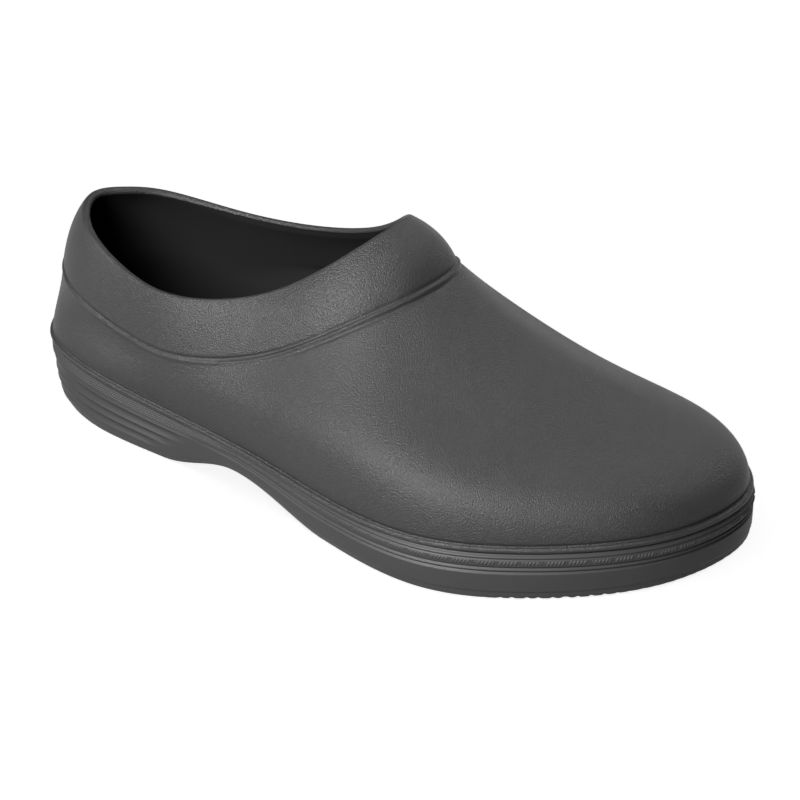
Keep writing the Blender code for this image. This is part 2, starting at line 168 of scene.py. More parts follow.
# Tread from its edge inwards: flat edge, rim, slope and field, in millimetres, and the
# most of the width that each may take where the shoe is narrow.
TREAD_EDGE = 1.6
TREAD_EDGE_SHARE = 0.1
TREAD_RIM = 7.0
TREAD_RIM_SHARE = 0.32
TREAD_SLOPE = 0.8
TREAD_SLOPE_SHARE = 0.36
TREAD_DEEP = 2.4
TREAD_SPANS = (((10.0, 0.0), (16.0, 1.0), (70.0, 1.0), (77.0, 0.0)),
               ((160.0, 0.0), (170.0, 1.0), (268.0, 1.0), (275.0, 0.0)))
STUD_RADIUS = 6.2
STUD_STEP_X = 13.6
STUD_STEP_Y = 14.6
STUD_CLEAR = 1.2
STUD_SPANS = ((21.0, 67.0), (177.5, 260.0))
STUD_SIDES = 6
STUD_ROWS_EACH_SIDE = 5
# Share of the radius and height, from the floor up.
STUD_PROFILE = ((0.86, 0.0), (0.95, 0.15), (1.0, 0.5), (1.02, TREAD_DEEP + 0.8))

NOTCH_PITCH = 4.6
NOTCH_DEEP = 0.8
NOTCH_HALF_LAND = 0.33
NOTCH_HIGH = 1.4
NOTCH_LIFT = 0.5
NOTCH_SPAN = ((228.0, 0.0), (238.0, 1.0), (262.0, 1.0), (272.0, 0.15))

# Moulded stitch line round the sole: levels of its two edges at the heel and at the
# forefoot, rows of dashes at the heel, and sizes in millimetres. A group of dashes
# fills twice the half share of its length, between soft ends.
STITCH_HEEL = (0.022, 0.20)
STITCH_FORE = (0.125, 0.22)
STITCH_LINES = 4
STITCH_GROUP = 8.0
STITCH_DASH = 1.25
STITCH_SLANT = 0.9
STITCH_HALF_GROUP = 0.44
STITCH_END_SOFT = 12.0
STITCH_FULLNESS = 0.6
STITCH_FLOOR = 0.15
STITCH_PROUD = 0.4
STITCH_SUNK = 0.02
STITCH_THICK = 0.5
STITCH_ROWS = 21
STACK_FULLNESS = 0.8
STACK_FLOOR = 0.45
STACK_SHIFT = 1.2
STACK_PROUD = 0.55

INSOLE_INSET = 3.6
INSOLE_LEAN = 0.6
INSOLE_THICK = 4.0
INSOLE_CUP = 1.8
INSOLE_EDGE = 0.8
INSOLE_RUNGS = 26
INSOLE_CORNER_ROWS = 6
WALL_FINE = (0.0, 0.5, 60)

# Foam finish: clouding in cycles per metre, and the grain's warp, finer tooth and gloss.
CLOUD_SCALE = 28.0
GRAIN_WARP = 0.9
TOOTH_FINER = 1.9
TOOTH_SHARE = 0.45
GLOSS_SPREAD = 0.05
UPPER_SHINE = 0.26
SOLE_SHINE = 0.2
INSIDE_SHINE = 0.05

# Stage, in metres.
FLOOR_HALF = 3.0
FLOOR_DROP = 0.0002
FLOOR_GLOW = 0.87
LIGHT_AIM = (0.03, 0.0, 0.04)
KEY_PLACE = (-0.08, -1.06, 0.82)
KEY_SIZE = 0.66
BACK_PLACE = (0.12, 1.0, 0.74)
BACK_SIZE = 0.6
BRIGHT_WAY = (-0.55, 0.1, 0.83)
DIM_SHARE = 0.03

# Camera round the shoe, in degrees and metres, worked out from the photo's outlines.
VIEW_AZIMUTH = 32.3
VIEW_ELEVATION = 27.75
VIEW_DISTANCE = 1.0
VIEW_LENS = 121.5
VIEW_AIM = (0.157, 0.0, 0.0297)


def closed_spline(rows, places):
    """Periodic cubic through the rows: bends solve a cyclic 1-4-1 system, then each
    span is the line between its rows plus the usual cubic share of their bends."""
    rows = np.asarray(rows, float)
    count = len(rows)
    eye = np.eye(count)
    system = 4.0 * eye + np.roll(eye, 1, 1) + np.roll(eye, -1, 1)
    bends = np.roll(rows, 1, 0) - 2.0 * rows + np.roll(rows, -1, 0)
    bends = np.linalg.solve(system, 6.0 * bends)
    low = np.floor(places).astype(int) % count
    high = (low + 1) % count
    t = (places - np.floor(places))[:, None]
    s = 1.0 - t
    curve = s * rows[low] + t * rows[high]
    return curve + ((s**3 - s) * bends[low] + (t**3 - t) * bends[high]) / 6.0


def ease(x, table):
    """Value at x of (x, value) rows joined by S curves 3t^2 - 2t^3."""
    x = np.asarray(x, float)
    value = np.full(x.shape, float(table[0][1]))
    for (x0, v0), (x1, v1) in zip(table[:-1], table[1:]):
        t = np.clip((x - x0) / (x1 - x0), 0.0, 1.0)
        value = value + (v1 - v0) * t * t * (3.0 - 2.0 * t)
    return value


def plan_outward(loop):
    """Unit plan directions square to a closed loop of points, pointing out of it."""
    along = np.roll(loop[:, :2], -1, 0) - np.roll(loop[:, :2], 1, 0)
    out = np.stack([along[:, 1], -along[:, 0], np.zeros(len(loop))], 1)
    out /= np.linalg.norm(out, axis=1)[:, None]
    centre = loop[:, :2].mean(0)
    if ((loop[:, :2] - centre) * out[:, :2]).sum() < 0.0:
        out = -out
    return out


def heel_table(columns):
    """Stations splined to columns, as many on the lateral side as on the medial one."""
    half = columns // 2
    lateral = np.arange(half) * TOE_STATION / half
    medial = TOE_STATION + np.arange(half) * (len(STATIONS) - TOE_STATION) / half
    return closed_spline(STATIONS, np.concatenate([lateral, medial]))


def ring_middle():
    """Middle of the foot outline's box, as the frame's columns give it."""
    plan = heel_table(MIDDLE_COLUMNS)[:, :2]
    return (plan.min(0) + plan.max(0)) / 2.0


def ring(columns):
    """Columns of the ring: table of stations moved to the frame's middle, outward
    directions and heel-based x."""
    table = heel_table(columns)
    x = table[:, 0].copy()
    middle = ring_middle()
    for first in (0, 3, 6):
        table[:, first:first + 2] -= middle
    return table, plan_outward(table[:, 0:3]), x


def run_along(loop):
    """Distance in plan from a loop's first point to each point, and all the way round."""
    step = np.hypot(*(np.roll(loop[:, :2], -1, 0) - loop[:, :2]).T)
    run = np.cumsum(step)
    return run - step, run[-1]


def wall_grid(table, out, shares):
    """Outer wall: cubic from the lip to the bead. Its first handle stands rise above
    the lip and lean outside it, its last lies reach outside the bead and drop below."""
    foot = table[:, 0:3]
    bead = table[:, 3:6]
    plan = bead - foot
    plan[:, 2] = 0.0
    plan /= np.linalg.norm(plan, axis=1)[:, None] + 1e-9
    first = foot + out * table[:, 10:11]
    first[:, 2] += table[:, 9]
    last = bead - plan * table[:, 11:12]
    last[:, 2] -= table[:, 12]
    t = np.asarray(shares)[:, None, None]
    s = 1.0 - t
    return s**3 * foot + 3.0 * s * s * t * first + 3.0 * s * t * t * last + t**3 * bead


def rim_round(table):
    """Circle of the rim in each column: its middle, outward direction, the handle of
    the band under it, and the angle at which a line from that handle touches it."""
    bead = table[:, 3:6]
    rim = table[:, 6:9]
    aside = plan_outward(rim)
    handle = bead + (rim - bead) * np.array([BAND_SIDE, BAND_SIDE, BAND_HOLLOW])
    radius = ease(rim[:, 0] + ring_middle()[0], RIM_RADIUS)
    middle = rim - np.outer(radius, UP)
    away = ((handle - middle) * aside).sum(1)
    rise = (handle - middle)[:, 2]
    angle = np.arctan2(rise, away) + np.arccos(np.clip(radius / np.hypot(away, rise), 0.0, 1.0))
    return middle, aside, handle, angle, radius[:, None]


def rim_points(table, shares):
    """Points round the rim's circle, from the angle where the band meets it, at share
    nought, over its top to the opposite side at share one."""
    middle, aside, _, start, radius = rim_round(table)
    turn = (start[None] + math.pi * np.asarray(shares)[:, None])[:, :, None]
    return middle + radius * (aside * np.cos(turn) + UP * np.sin(turn))


def band_grid(table, shares):
    """Collar band: quadratic from the bead to the rim's circle, which it touches."""
    bead = table[:, 3:6]
    handle = rim_round(table)[2]
    edge = rim_points(table, [0.0])[0]
    t = np.asarray(shares)[:, None, None]
    s = 1.0 - t
    return s * s * bead + 2.0 * s * t * handle + t * t * edge


def grid_normals(grid):
    """Unit normals of a grid of rows and closed columns: the cross product of the
    differences along its rows and up its columns, turned to point out of the shoe."""
    around = np.roll(grid, -1, 1) - np.roll(grid, 1, 1)
    up = np.gradient(grid, axis=0)
    normal = np.cross(around, up)
    normal /= np.linalg.norm(normal, axis=2)[:, :, None] + 1e-12
    away = grid[:, :, :2] - grid[:, :, :2].mean((0, 1))
    if (away * normal[:, :, :2]).sum() < 0.0:
        normal = -normal
    return normal


def arc_from(grid, row):
    """Distance up each column from a given row, less than nought below it."""
    step = np.linalg.norm(np.diff(grid, axis=0), axis=2)
    run = np.vstack([np.zeros(grid.shape[1]), np.cumsum(step, 0)])
    return run - run[row]


def wave(distance, half_width):
    """Bell curve exp(-(d/w)^2)."""
    return np.exp(-(distance / half_width) ** 2)


def bead_relief(arc, x):
    """Height of the bead's ridge and the valleys beside it: a sum of bell curves whose
    sizes pass from the heel's to the side's to the instep's."""
    heel = ease(x, BEAD_HEEL)
    front = ease(x, BEAD_FRONT)
    side = 1.0 - heel - front
    relief = np.zeros(arc.shape)
    for place, width, at_heel, at_side, at_front in BEAD_WAVES:
        size = at_heel * heel + at_side * side + at_front * front
        relief += size * wave(arc - place, width)
    return relief


def wall_shares():
    """Shares of the way up the wall: close together at the lip, where they follow one
    less a cosine, even above it, and close together again at the bead."""
    low = 1.0 - np.cos(np.linspace(0.0, 1.0, WALL_LOW_ROWS) * math.pi / 2.0)
    low = WALL_LOW_END * low[:-1] / low[-2]
    middle = np.linspace(WALL_LOW_END, WALL_MID_END, WALL_MID_ROWS)[1:]
    top = np.linspace(WALL_MID_END, 1.0, WALL_TOP_ROWS)[1:]
    return np.concatenate([low, middle, top])


def outer_surface(table, out, x):
    """Wall and band with the bead's relief, the crease above the lip as a bell curve and
    the lip's flare as a squared slope, all along the surface's normals."""
    low_band = np.linspace(0.0, BAND_LOW_END, BAND_LOW_ROWS)
    top_band = np.linspace(BAND_LOW_END, BAND_TOP_END, BAND_TOP_ROWS)
    wall = wall_grid(table, out, wall_shares())
    band = band_grid(table, np.concatenate([low_band, top_band[1:]]))
    outer = np.concatenate([wall, band[1:]])
    relief = bead_relief(arc_from(outer, len(wall) - 1), table[None, :, 3] + ring_middle()[0])
    from_lip = arc_from(outer, 0)
    relief = relief - ease(x, LIP_CREASE) * wave(from_lip - LIP_CREASE_WIDE, LIP_CREASE_WIDE)
    slope = np.clip(1.0 - from_lip / LIP_FLARE_HIGH, 0.0, 1.0)
    relief = relief + ease(x, LIP_FLARE) * slope**2
    return outer + grid_normals(outer) * relief[:, :, None]


def upper_rows():
    """Closed profile of the upper, row by row: underside of the lip, its rounded edge,
    the wall, the bead, the band, the rim's half circle and the inner wall. Also gives
    the number of the row where the inside begins."""
    table, out, x = ring(COLUMNS)
    foot = table[:, 0:3]
    turn = np.linspace(-math.pi / 2.0, math.pi / 2.0, LIP_ROWS)[:, None, None]
    half = np.outer(ease(x, LIP_HALF), UP)
    lip = foot + out * (ease(x, LIP_PROUD)[:, None] - LIP_ROUND) - half
    lip = lip + out * LIP_ROUND * np.cos(turn) + half * np.sin(turn)
    under = foot - out * WALL - UP * LIP_THICK
    surface = outer_surface(table, out, x)
    crest = rim_points(table, np.linspace(0.0, 1.0, CREST_ROWS))
    inner_band = band_grid(table, np.linspace(*INNER_BAND))
    inner_band = (inner_band - grid_normals(inner_band) * WALL)[::-1]
    inner_wall = wall_grid(table, out, np.linspace(*INNER_WALL))
    inner_wall = inner_wall - grid_normals(inner_wall[::-1])[::-1] * WALL
    pieces = [under[None], lip, surface[1:], crest, inner_band, inner_wall]
    inner = sum(len(rows) for rows in pieces[:4]) - len(crest) // 4
    return np.concatenate(pieces) * MM, inner


def ring_mesh(rows, closed):
    """Quads between successive rows of a closed ring of columns."""
    count_rows, columns = rows.shape[:2]
    index = np.arange(count_rows * columns).reshape(count_rows, columns)
    far = np.roll(index, -1, 0) if closed else index[1:]
    near = index if closed else index[:-1]
    quads = np.stack([near, np.roll(near, -1, 1), np.roll(far, -1, 1), far], 2)
    return rows.reshape(-1, 3), quads.reshape(-1, 4)


def lid_mesh(base, row, rungs):
    """Quads and end triangles over a row of a ring, with rungs from each lateral point
    to its medial partner. Returns the new points and the faces."""
    columns = len(row)
    half = columns // 2
    inner = rungs.shape[1]
    index = base + np.arange((half - 1) * inner).reshape(half - 1, inner)
    near = row[1:half, None]
    far = row[:half:-1][:half - 1, None]
    lines = np.hstack([near, index, far])
    quads = np.stack([lines[:-1, :-1], lines[1:, :-1], lines[1:, 1:], lines[:-1, 1:]], 2)
    heel = np.full(lines.shape[1] - 1, row[0])
    toe = np.full(lines.shape[1] - 1, row[half])
    tips = [np.stack([heel, lines[0, :-1], lines[0, 1:]], 1),
            np.stack([toe, lines[-1, 1:], lines[-1, :-1]], 1)]
    return rungs.reshape(-1, 3), quads.reshape(-1, 4), np.concatenate(tips)


def floor_height(x):
    """Height of the underside at x."""
    return ease(x, ARCH) + ease(x, TOE_SPRING)


def rungs_between(row, shares):
    """Points at the given shares of the way from each lateral point to its partner."""
    half = len(row) // 2
    near = row[1:half]
    far = row[:half:-1][:half - 1]
    places = np.asarray(shares)
    if places.ndim == 1:
        places = np.broadcast_to(places, (half - 1, len(places)))
    return near[:, None] * (1.0 - places[:, :, None]) + far[:, None] * places[:, :, None]


def sole_side(columns):
    """Side of the sole: inset by level from the rounding rows, less the grooves' bell
    curves, which slide from their heel level to their forefoot level."""
    table, out, x = ring(columns)
    foot = table[:, 0:3]
    top = foot[:, 2] - LIP_THICK - PIECE_GAP
    bottom = floor_height(x)
    high = top - bottom
    level = np.linspace(0.0, 1.0, SIDE_ROWS)[:, None] * np.ones(columns)
    z = top - high * level
    rounds = np.array(ROUND_ROWS)
    inset = np.interp(level, rounds[:, 0], rounds[:, 1]) * ease(x, ROUNDING)
    fore = ease(x, HEEL_TO_FORE)
    for heel_level, fore_level, width, heel_deep, fore_deep, end in GROOVES:
        middle = top - high * (heel_level * (1.0 - fore) + fore_level * fore)
        fade = ease(x, ((end - FLUTE_FADE, 1.0), (end, 0.0)))
        deep = heel_deep * fade * (1.0 - fore) + fore_deep * fore
        inset = inset + deep * wave(z - middle, width)
    for high_edge, low_edge, deep, end in FLUTES:
        place = np.clip((level - high_edge) / (low_edge - high_edge), 0.0, 1.0)
        scallop = np.sin(math.pi * place) ** FLUTE_FULLNESS
        fade = ease(x, ((end - FLUTE_FADE, 1.0), (end, 0.0))) * ease(x, FLUTE_BACK)
        inset = inset + deep * scallop * fade
    above = z - bottom
    step = 1.0 / (1.0 + np.exp((above - TREAD_HIGH) / TREAD_STEP_SOFT))
    corner = np.clip(1.0 - above / CORNER_HIGH, 0.0, 1.0)
    place = (run_along(foot)[0] / NOTCH_PITCH) % 1.0
    notch = (np.abs(place - 0.5) > NOTCH_HALF_LAND) * ease(x, NOTCH_SPAN)
    cut = notch * np.clip(1.0 - above / NOTCH_HIGH, 0.0, 1.0)
    inset = inset + TREAD_STEP * step + CORNER_IN * corner**2 + NOTCH_DEEP * cut
    rows = foot[None] - out[None] * (inset - ease(x, SIDE_PROUD))[:, :, None]
    rows[:, :, 2] = z
    rows[-1, :, 2] += NOTCH_LIFT * notch
    return rows, x


def tread_depth(x):
    """Depth of the field between the studs above the tread's rim at x."""
    return sum(ease(x, span) for span in TREAD_SPANS) * TREAD_DEEP


def stud_places(row, middle_x):
    """Middles of the studs: two staggered fields, kept where a stud stands inside the
    row of the sole's edge and clear of the tread's rim."""
    across = np.arange(-STUD_ROWS_EACH_SIDE, STUD_ROWS_EACH_SIDE + 1)[None, :]
    fields = []
    for start, end in STUD_SPANS:
        order = np.arange(int((end - start) / STUD_STEP_X) + 1)[:, None]
        x = start + order * STUD_STEP_X - middle_x + 0.0 * across
        y = (across + 0.5 * (order % 2)) * STUD_STEP_Y
        fields.append(np.stack([x.ravel(), y.ravel()], 1))
    places = np.concatenate(fields)
    room = TREAD_RIM + TREAD_SLOPE + STUD_CLEAR + STUD_RADIUS
    clear = np.linalg.norm(row[None, :, :2] - places[:, None], axis=2).min(1) >= room
    half = len(row) // 2
    side = np.interp(places[:, 0], row[:half + 1, 0], row[:half + 1, 1])
    other = np.interp(places[:, 0], row[half:, 0][::-1], row[half:, 1][::-1])
    return places[clear & (side < places[:, 1]) & (places[:, 1] < other)]


def stud_mesh(row, middle_x):
    """Studs with a rounded lower edge: each is a stack of rings of corners, whose
    radius and height follow the profile, closed by its first and last ring."""
    places = stud_places(row, middle_x)
    share, lift = np.array(STUD_PROFILE).T
    turn = np.arange(STUD_SIDES) * 2.0 * math.pi / STUD_SIDES
    corner = STUD_RADIUS * np.stack([np.cos(turn), np.sin(turn)], 1)
    points = np.zeros((len(places), len(share), STUD_SIDES, 3))
    points[..., :2] = places[:, None, None] + share[:, None, None] * corner
    points[..., 2] = floor_height(places[:, 0] + middle_x)[:, None, None] + lift[:, None]
    index = np.arange(points.size // 3).reshape(points.shape[:3])
    near = index[:, :-1]
    far = index[:, 1:]
    sides = np.stack([near, np.roll(near, -1, 2), np.roll(far, -1, 2), far], 3)
    return points.reshape(-1, 3) * MM, [sides.reshape(-1, 4), index[:, 0], index[:, -1]]


def sole_tread(under, x):
    """Rungs of the tread between the two sides: flat edge, rim, slope up to the field,
    and the field itself, raised by its depth."""
    half = len(under) // 2
    width = np.hypot(*(under[1:half, :2] - under[:half:-1, :2][:half - 1]).T)
    width = np.maximum(width, 1.0)[:, None]
    start = np.minimum(TREAD_EDGE / width, TREAD_EDGE_SHARE)
    rim = np.minimum(TREAD_RIM / width, TREAD_RIM_SHARE)
    slope = np.minimum((TREAD_RIM + TREAD_SLOPE) / width, TREAD_SLOPE_SHARE)
    field = slope + (1.0 - 2.0 * slope) * np.linspace(0.0, 1.0, TREAD_RUNGS)
    tread = rungs_between(under, np.hstack([start, rim, field, 1.0 - rim, 1.0 - start]))
    tread[:, 2:-2, 2] += tread_depth(tread[:, 2:-2, 0] + ring_middle()[0])
    return tread


def sole_mesh():
    """Side, flat lid and tread of the sole as one closed mesh."""
    rows, x = sole_side(COLUMNS)
    points, side = ring_mesh(rows, False)
    index = np.arange(rows.shape[0] * COLUMNS).reshape(rows.shape[:2])
    lid = rungs_between(rows[0], np.linspace(0.0, 1.0, LID_RUNGS)[1:-1])
    lid_points, lid_quads, lid_tips = lid_mesh(len(points), index[0], lid)
    points = np.concatenate([points, lid_points])
    under = rows[-1].copy()
    under[:, 2] = floor_height(x)
    more, tread_quads, tread_tips = lid_mesh(len(points), index[-1], sole_tread(under, x))
    points = np.concatenate([points, more]) * MM
    faces = [side, lid_quads, lid_tips, tread_quads, tread_tips]
    return points, faces, under


def stitch_mesh():
    """Moulded stitch line: a thin closed strip round the sole. Its outer face swells by
    slanted dashes, the product of a bell across the strip and a squared cosine along
    it, with a longer gap after each group."""
    table, out, x = ring(STITCH_COLUMNS)
    foot = table[:, 0:3]
    top = foot[:, 2] - LIP_THICK - PIECE_GAP
    high = top - floor_height(x)
    fore = ease(x, HEEL_TO_FORE)
    low_level = STITCH_FORE[1] * fore + STITCH_HEEL[1] * (1.0 - fore)
    top_level = STITCH_FORE[0] * fore + STITCH_HEEL[0] * (1.0 - fore)
    across = np.linspace(0.0, 1.0, STITCH_ROWS)[:, None]
    level = top_level + (low_level - top_level) * across
    z = top - high * level
    rounds = np.array(ROUND_ROWS)
    inset = np.interp(level, rounds[:, 0], rounds[:, 1]) * ease(x, ROUNDING) - ease(x, SIDE_PROUD)
    run, total = run_along(foot)
    run = run * (round(total / STITCH_GROUP) * STITCH_GROUP / total)
    slant = (across - 0.5) * STITCH_SLANT
    dash = np.cos(math.pi * (run + slant) / STITCH_DASH) ** 2
    from_middle = np.abs((run / STITCH_GROUP) % 1.0 - 0.5)
    group = np.clip((STITCH_HALF_GROUP - from_middle) * STITCH_END_SOFT, 0.0, 1.0)
    swell = np.sin(math.pi * across) ** STITCH_FULLNESS
    single = STITCH_PROUD * swell * (STITCH_FLOOR + (1.0 - STITCH_FLOOR) * dash) * group
    line = np.sin(math.pi * STITCH_LINES * across)
    dash = np.cos(math.pi * run / STITCH_DASH + STACK_SHIFT * np.sign(line)) ** 2
    stack = STACK_PROUD * np.abs(line) ** STACK_FULLNESS
    stack = stack * (STACK_FLOOR + (1.0 - STACK_FLOOR) * dash)
    relief = single * fore + stack * (1.0 - fore)
    outer = foot[None] - out[None] * (inset - relief + STITCH_SUNK)[:, :, None]
    outer[:, :, 2] = z
    inner = foot[None] - out[None] * (inset[[-1, 0]] + STITCH_THICK)[:, :, None]
    inner[:, :, 2] = z[[-1, 0]]
    rows = np.concatenate([outer, inner]) * MM
    points, faces = ring_mesh(rows, True)
    return points, [faces]


def wall_at(table, out, height):
    """Point of each column's wall at a height: on the line between the two rows of a
    fine grid that lie below and above it."""
    grid = wall_grid(table, out, np.linspace(*WALL_FINE))
    above = np.clip((grid[:, :, 2] < height).sum(0), 1, len(grid) - 1)
    column = np.arange(len(height))
    low = grid[above - 1, column]
    high = grid[above, column]
    share = np.clip((height - low[:, 2]) / (high[:, 2] - low[:, 2]), 0.0, 1.0)[:, None]
    place = low + (high - low) * share
    place[:, 2] = height
    return place


def insole_mesh():
    """Footbed: base, side at the inner wall and a dished top, lower in the middle by
    the cup times one less the square of the place across."""
    table, out, _ = ring(INSOLE_COLUMNS)
    base = table[:, 0:3] - out * INSOLE_INSET - UP * LIP_THICK
    height = table[:, 2] - LIP_THICK + INSOLE_THICK + INSOLE_CUP - INSOLE_EDGE
    side = wall_at(table, out, height) - out * (INSOLE_INSET + INSOLE_LEAN)
    turn = np.linspace(0.0, math.pi / 2.0, INSOLE_CORNER_ROWS)[:, None, None]
    corner = side - out * INSOLE_EDGE * (1.0 - np.cos(turn)) + UP * INSOLE_EDGE * np.sin(turn)
    rows = np.concatenate([base[None], corner])
    points, quads = ring_mesh(rows, False)
    index = np.arange(len(points)).reshape(rows.shape[:2])
    under, under_quads, under_tips = lid_mesh(len(points), index[0], rungs_between(rows[0], [0.5]))
    points = np.concatenate([points, under])
    places = np.linspace(0.0, 1.0, INSOLE_RUNGS)[1:-1]
    top = rungs_between(rows[-1], places)
    top[:, :, 2] += ((2.0 * places - 1.0) ** 2 - 1.0) * INSOLE_CUP
    more, top_quads, top_tips = lid_mesh(len(points), index[-1], top)
    points = np.concatenate([points, more]) * MM
    return points, [quads, under_quads, under_tips, top_quads, top_tips]


def make_mesh(name, points, face_sets, sharp=0.0):
    """Mesh object from points and arrays of faces, turned outwards and shaded smooth,
    with edges sharper than the given angle kept. Raises if a point isn't a number."""
    if not np.isfinite(points).all():
        raise ValueError(f"{name}: a point of its surface isn't finite")
    mesh = bpy.data.meshes.new(name)
    faces = [face for face_set in face_sets for face in face_set.tolist()]
    mesh.from_pydata(points.tolist(), [], faces)
    work = bmesh.new()
    work.from_mesh(mesh)
    bmesh.ops.recalc_face_normals(work, faces=work.faces[:])
    work.to_mesh(mesh)
    work.free()
    mesh.shade_smooth()
    if sharp:
        mesh.set_sharp_from_angle(angle=math.radians(sharp))
    made = bpy.data.objects.new(name, mesh)
    bpy.context.scene.collection.objects.link(made)
    return made


def node(tree, kind, **values):
    """Node of a kind with the given inputs or properties set."""
    made = tree.nodes.new(kind)
    for key, value in values.items():
        if key in made.inputs:
            made.inputs[key].default_value = value
        else:
            setattr(made, key, value)
    return made


def spread_range(tree, value, span, target):
    """Map Range node that carries a value's span onto a target span."""
    made = node(tree, "ShaderNodeMapRange")
    made.inputs["From Min"].default_value = span[0]
    made.inputs["From Max"].default_value = span[1]
    made.inputs["To Min"].default_value = target[0]
    made.inputs["To Max"].default_value = target[1]
    tree.links.new(value, made.inputs["Value"])
    return made.outputs["Result"]


def pebbled(tree, place, grain):
    """Height of the pebbled grain: smooth Voronoi cells on places pushed about by
    noise, mixed with a finer noise for the tooth."""
    links = tree.links.new
    scale = 1.0 / grain
    wobble = node(tree, "ShaderNodeTexNoise", Scale=scale * 0.8, Detail=1.0)
    links(place, wobble.inputs["Vector"])
    push = node(tree, "ShaderNodeVectorMath", operation="MULTIPLY_ADD")
    push.inputs[1].default_value = (grain * GRAIN_WARP,) * 3
    links(wobble.outputs["Color"], push.inputs[0])
    links(place, push.inputs[2])
    cells = node(tree, "ShaderNodeTexVoronoi", feature="SMOOTH_F1", Scale=scale, Smoothness=0.6)
    links(push.outputs["Vector"], cells.inputs["Vector"])
    tooth = node(tree, "ShaderNodeTexNoise", Scale=scale * TOOTH_FINER, Detail=2.0, Roughness=0.6)
    links(place, tooth.inputs["Vector"])
    mix = node(tree, "ShaderNodeMix", data_type="FLOAT", Factor=TOOTH_SHARE)
    links(cells.outputs["Distance"], mix.inputs[2])
    links(tooth.outputs["Fac"], mix.inputs[3])
    return mix.outputs[0]


def foam(name, colour, rough, grain_mm, grain_high, spread, shine):
    """Moulded foam: one dark colour that clouds by the spread, a pebbled grain as bump
    with its height in millimetres, and a sheen that clouds with the colour."""
    made = bpy.data.materials.new(name)
    made.use_nodes = True
    tree = made.node_tree
    shader = tree.nodes["Principled BSDF"]
    links = tree.links.new
    place = node(tree, "ShaderNodeTexCoord").outputs["Object"]
    cloud = node(tree, "ShaderNodeTexNoise", Scale=CLOUD_SCALE, Detail=3.0, Roughness=0.55)
    links(place, cloud.inputs["Vector"])
    cloudy = cloud.outputs["Fac"]
    tint = node(tree, "ShaderNodeVectorMath", operation="SCALE")
    tint.inputs[0].default_value = colour
    change = spread_range(tree, cloudy, (0.3, 0.7), (1.0 - spread, 1.0 + spread))
    links(change, tint.inputs["Scale"])
    links(tint.outputs["Vector"], shader.inputs["Base Color"])
    bump = node(tree, "ShaderNodeBump", Strength=1.0, Distance=grain_high * MM)
    bump.invert = True
    links(pebbled(tree, place, grain_mm * MM), bump.inputs["Height"])
    links(bump.outputs["Normal"], shader.inputs["Normal"])
    gloss = spread_range(tree, cloudy, (0.2, 0.8), (rough - GLOSS_SPREAD, rough + GLOSS_SPREAD))
    links(gloss, shader.inputs["Roughness"])
    shader.inputs["Specular IOR Level"].default_value = shine
    return made


def dress(piece, stands_for):
    """Stand a piece in for a node, on the part's one body."""
    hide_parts(stands_for)
    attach(piece, "root")


def add_to_sole(piece):
    """Carry a small piece on the part's one body."""
    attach(piece, "root")


class ClogFinish(bpy.types.PropertyGroup):
    """Colours and grain of the foam; the inside and footbed colours are darkened as painted shade.
    """

    upper_colour: bpy.props.FloatVectorProperty(
        name="Upper", description="Colour of the upper", subtype="COLOR",
        size=3, min=0.0, max=1.0, default=(0.0072, 0.0072, 0.0074))
    sole_colour: bpy.props.FloatVectorProperty(
        name="Sole", description="Colour of the sole", subtype="COLOR",
        size=3, min=0.0, max=1.0, default=(0.0105, 0.0105, 0.0108))
    stitch_colour: bpy.props.FloatVectorProperty(
        name="Stitch line", description="Colour of the moulded stitch line", subtype="COLOR",
        size=3, min=0.0, max=1.0, default=(0.0120, 0.0120, 0.0123))
    # Inside of the upper: the same foam painted darker, as painted shade inside the shoe.
    painted_shade_inside_colour: bpy.props.FloatVectorProperty(
        name="Inside", description="Colour of the inside of the upper", subtype="COLOR",
        size=3, min=0.0, max=1.0, default=(0.003, 0.003, 0.003))
    # Footbed: its own colour darkened by painted shade inside the shoe.
    insole_colour_with_painted_shade: bpy.props.FloatVectorProperty(
        name="Insole", description="Colour of the footbed", subtype="COLOR",
        size=3, min=0.0, max=1.0, default=(0.006, 0.006, 0.006))
    grain: bpy.props.FloatProperty(
        name="Grain", description="Size of the pebbled grain in millimetres",
        default=0.5, min=0.2, max=4.0)


class ClogStage(bpy.types.PropertyGroup):
    """Light and camera."""

    key_power: bpy.props.FloatProperty(
        name="Key light", description="Power of the soft key light",
        default=104.0, min=0.0, subtype="POWER")
    back_power: bpy.props.FloatProperty(
        name="Back light", description="Power of the soft light behind the shoe",
        default=9.0, min=0.0, subtype="POWER")
    surround: bpy.props.FloatProperty(
        name="Surround", description="Strength of the white surround", default=0.25, min=0.0)
    lens: bpy.props.FloatProperty(
        name="Lens", description="Focal length on a 36 mm sensor",
        default=VIEW_LENS, unit="CAMERA")


class CLOG_OT_upper(bpy.types.Operator):
    """Build the hollow upper with its lip, bead and collar"""

    bl_idname = "clog.upper"
    bl_label = "Upper"

    def execute(self, context):
        finish = context.scene.clog_finish
        rows, inner = upper_rows()
        points, faces = ring_mesh(rows, True)
        piece = make_mesh("clog_upper", points, [faces])
        outside = foam("upper_foam", finish.upper_colour, rough=0.45, grain_mm=finish.grain,
                       grain_high=0.42, spread=0.06, shine=UPPER_SHINE)
        # The inner rows get the same foam painted darker, as painted shade inside the shoe.
        inside = foam("inside_painted_shade_foam", finish.painted_shade_inside_colour, rough=0.9, grain_mm=finish.grain,
                      grain_high=0.1, spread=0.06, shine=INSIDE_SHINE)
        piece.data.materials.append(outside)
        piece.data.materials.append(inside)
        # Rows from the inside on take the darker painted shade material.
        side = np.zeros(len(faces), int)
        side[inner * COLUMNS:] = 1
        piece.data.polygons.foreach_set("material_index", side)
        dress(piece, "upper")
        return {"FINISHED"}


